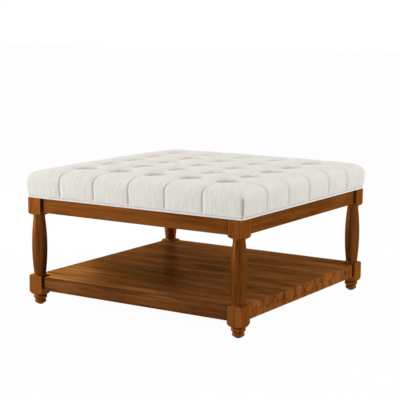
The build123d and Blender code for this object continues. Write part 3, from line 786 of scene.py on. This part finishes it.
def slub_linen(name, tint, streak=1.0):
    """Plain-weave linen with slub yarns: soft streaks along the warp, a fine weave and a dry sheen."""
    linen = bpy.data.materials.new(name)
    linen.use_nodes = True
    tree = linen.node_tree
    new, link = tree.nodes.new, tree.links.new
    shader = tree.nodes["Principled BSDF"]
    cloth = new("ShaderNodeUVMap")
    cloth.uv_map = "cloth"
    cloth = cloth.outputs[0]
    slub = mottle(tree, stretched(tree, cloth, "Y", 0.045), scale=360, detail=4, roughness=0.6)
    weft = mottle(tree, stretched(tree, cloth, "X", 0.06), scale=640, detail=3)
    yarns = blended(tree, slub, weft, share=0.24)
    thin = [c * (1 - 0.19 * streak) for c in tint]
    thick = [min(1, c * (1 + 0.045 * streak)) for c in tint]
    colour = coloured(tree, yarns, (0.34, thin), (0.64, thick))
    # painted shade: down in its folds the cloth's colour is mixed to tan, by the painted fold shade attribute
    fold = new("ShaderNodeAttribute")
    fold.attribute_name = "painted_fold_shade"
    folded = new("ShaderNodeMix")
    folded.data_type = "RGBA"
    folded.inputs[7].default_value = (0.57, 0.47, 0.34, 1)
    link(graded(tree, fold.outputs["Fac"], 0.05, 0.65, 0.0, 1.0), folded.inputs["Factor"])
    link(colour, folded.inputs[6])
    link(folded.outputs[2], shader.inputs["Base Color"])
    shader.inputs["Roughness"].default_value = 0.88
    shader.inputs["Specular IOR Level"].default_value = 0.25
    shader.inputs["Sheen Weight"].default_value = 0.18
    shader.inputs["Sheen Roughness"].default_value = 0.5
    threads = []
    for direction in ("X", "Y"):
        thread = new("ShaderNodeTexWave")
        thread.wave_type = "BANDS"
        thread.bands_direction = direction
        thread.inputs["Scale"].default_value = 420
        link(cloth, thread.inputs["Vector"])
        threads.append(thread.outputs["Fac"])
    weave = worked_out(tree, "ADD", *threads)
    height = new("ShaderNodeMath")
    height.operation = "MULTIPLY_ADD"
    height.inputs[1].default_value = 0.35
    link(weave, height.inputs[0])
    link(yarns, height.inputs[2])
    bump = new("ShaderNodeBump")
    bump.inputs["Strength"].default_value = 0.35
    bump.inputs["Distance"].default_value = 0.0005
    link(height.outputs[0], bump.inputs["Height"])
    link(bump.outputs[0], shader.inputs["Normal"])
    return linen


linen = slub_linen("ivory_slub_linen", (0.885, 0.85, 0.80))
cushion.data.materials.append(linen)
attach(cushion, "root")
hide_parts("cushion_cover", "foam_pad", "tuft_twine")

# Tuft buttons: domed steel shells covered in the same linen, pulled down to
# the bottom of each pit by the twine.
bpy.ops.object.select_all(action="DESELECT")
button_radius, button_edge, button_level = button_seat, 0.0026, 0.4315
bpy.ops.mesh.primitive_cylinder_add(vertices=24, radius=button_radius, depth=button_edge,
                                    location=(0, 0, button_level))
button = bpy.context.object
bpy.ops.object.mode_set(mode="EDIT")
bpy.ops.mesh.select_all(action="DESELECT")
bpy.ops.object.mode_set(mode="OBJECT")
for face in button.data.polygons:
    face.select = face.normal.z > 0.9
bpy.ops.object.mode_set(mode="EDIT")
for rise, draw in ((0.0010, 0.93), (0.0010, 0.86), (0.0007, 0.78), (0.0004, 0.62)):
    bpy.ops.mesh.extrude_region_move(TRANSFORM_OT_translate={"value": (0, 0, rise)})
    bpy.ops.transform.resize(value=(draw, draw, 1), center_override=(0, 0, button_level))
bpy.ops.object.mode_set(mode="OBJECT")
bpy.ops.object.transform_apply(location=True, rotation=True, scale=True)
bpy.ops.object.shade_smooth_by_angle(angle=math.radians(50))
button_map = button.data.uv_layers.get("cloth") or button.data.uv_layers.new(name="cloth")
for loop in button.data.loops:
    button_map.data[loop.index].uv = button.data.vertices[loop.vertex_index].co.xy
button_copies = []
for a, row_a in enumerate(tuft_rows):
    for b, row_b in enumerate(tuft_rows):
        own_turn = Matrix.Rotation(0.7 * a + 1.3 * b, 4, "Z")
        one = button.copy()
        one.data = button.data.copy()
        one.data.transform(Matrix.Translation((row_a, row_b, 0)) @ own_turn)
        bpy.context.collection.objects.link(one)
        button_copies.append(one)
bpy.data.objects.remove(button)
bpy.ops.object.select_all(action="DESELECT")
for one in button_copies:
    one.select_set(True)
bpy.context.view_layer.objects.active = button_copies[0]
bpy.ops.object.join()
buttons = bpy.context.object
buttons.name = "covered_buttons"
buttons.data.materials.append(linen)
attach(buttons, "root")
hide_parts("tuft_buttons")

# Welt: a cord covered in linen cut on the bias, sewn round the foot of the
# cushion, where it hides the line between the cover and the frame.
welt_place, welt_level, welt_radius, welt_turn = 0.4047, 0.3591, 0.0030, 0.0040
bpy.ops.object.select_all(action="DESELECT")
bpy.ops.mesh.primitive_plane_add(size=2 * welt_place, location=(0, 0, welt_level))
bpy.ops.object.transform_apply(location=True, rotation=True, scale=True)
bpy.ops.object.mode_set(mode="EDIT")
bpy.ops.mesh.select_all(action="SELECT")
bpy.ops.mesh.bevel(offset=welt_turn, segments=8, affect="VERTICES")
bpy.ops.mesh.select_all(action="SELECT")
bpy.ops.mesh.delete(type="ONLY_FACE")
bpy.ops.object.mode_set(mode="OBJECT")
bpy.ops.object.convert(target="CURVE")
bpy.context.object.data.bevel_depth = welt_radius
bpy.context.object.data.bevel_resolution = 4
bpy.ops.object.convert(target="MESH")
welt = bpy.context.object
welt.name = "linen_welt"
bpy.ops.object.mode_set(mode="EDIT")
bpy.ops.mesh.select_all(action="SELECT")
bpy.ops.mesh.normals_make_consistent(inside=False)
bpy.ops.object.mode_set(mode="OBJECT")
bpy.ops.object.shade_smooth()
# its cloth lies on the bias, so the weave runs round it at 45 degrees
welt_map = welt.data.uv_layers.get("cloth") or welt.data.uv_layers.new(name="cloth")
for loop in welt.data.loops:
    x, y, z = welt.data.vertices[loop.vertex_index].co
    length, out = (x, abs(y)) if abs(y) >= abs(x) else (y, abs(x))
    girth = welt_radius * math.atan2(z - welt_level, out - welt_place)
    welt_map.data[loop.index].uv = ((length + girth) * math.sqrt(0.5), (length - girth) * math.sqrt(0.5))
welt.data.materials.append(slub_linen("welt_linen", (0.92, 0.895, 0.85), streak=0.4))
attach(welt, "root")
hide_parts("welt_cord")

# Dust cover: thin black spun cloth, cut off at its corners, drawn flat and stapled
# under the deck. It bellies down a little between its edges.
cloth_half, cloth_cut, cloth_level = 0.3745, 0.066, 0.35405
cloth_belly, cloth_ripple, ripple_pace, taut_rim = 0.0024, 0.0012, 9, 0.09
bpy.ops.object.select_all(action="DESELECT")
bpy.ops.mesh.primitive_grid_add(x_subdivisions=60, y_subdivisions=60, size=2 * cloth_half,
                                location=(0, 0, cloth_level))
dust_cover = bpy.context.object
dust_cover.name = "dust_cover_cloth"
bpy.ops.object.transform_apply(location=True, rotation=True, scale=True)
for vertex in dust_cover.data.vertices:
    x, y = vertex.co.x, vertex.co.y
    over = (abs(x) + abs(y)) - (2 * cloth_half - cloth_cut)
    if over > 0:
        vertex.co.x -= math.copysign(over / 2, x)
        vertex.co.y -= math.copysign(over / 2, y)
    x, y = vertex.co.x, vertex.co.y
    slack = max(0.0, min(1.0, (cloth_half - max(abs(x), abs(y))) / taut_rim))
    ripple = noise.noise(Vector((x * ripple_pace, y * ripple_pace, 0.4))) * cloth_ripple
    vertex.co.z -= (cloth_belly + ripple) * slack
bpy.ops.object.mode_set(mode="EDIT")
bpy.ops.mesh.select_all(action="SELECT")
bpy.ops.mesh.remove_doubles(threshold=0.0004)
bpy.ops.object.mode_set(mode="OBJECT")
bpy.ops.object.shade_smooth()
black_cloth = bpy.data.materials.new("black_spun_cloth")
black_cloth.use_nodes = True
black_tree = black_cloth.node_tree
black_shader = black_tree.nodes["Principled BSDF"]
black_shader.inputs["Roughness"].default_value = 0.9
black_place = black_tree.nodes.new("ShaderNodeTexCoord").outputs["Object"]
fibres = mottle(black_tree, black_place, scale=700, detail=5)
black_tree.links.new(coloured(black_tree, fibres, (0.0, (0.012, 0.012, 0.013)), (1.0, (0.055, 0.055, 0.058))),
                     black_shader.inputs["Base Color"])
fibre_bump = black_tree.nodes.new("ShaderNodeBump")
fibre_bump.inputs["Strength"].default_value = 0.4
fibre_bump.inputs["Distance"].default_value = 0.0003
black_tree.links.new(fibres, fibre_bump.inputs["Height"])
black_tree.links.new(fibre_bump.outputs[0], black_shader.inputs["Normal"])
dust_cover.data.materials.append(black_cloth)
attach(dust_cover, "root")
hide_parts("dust_cover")
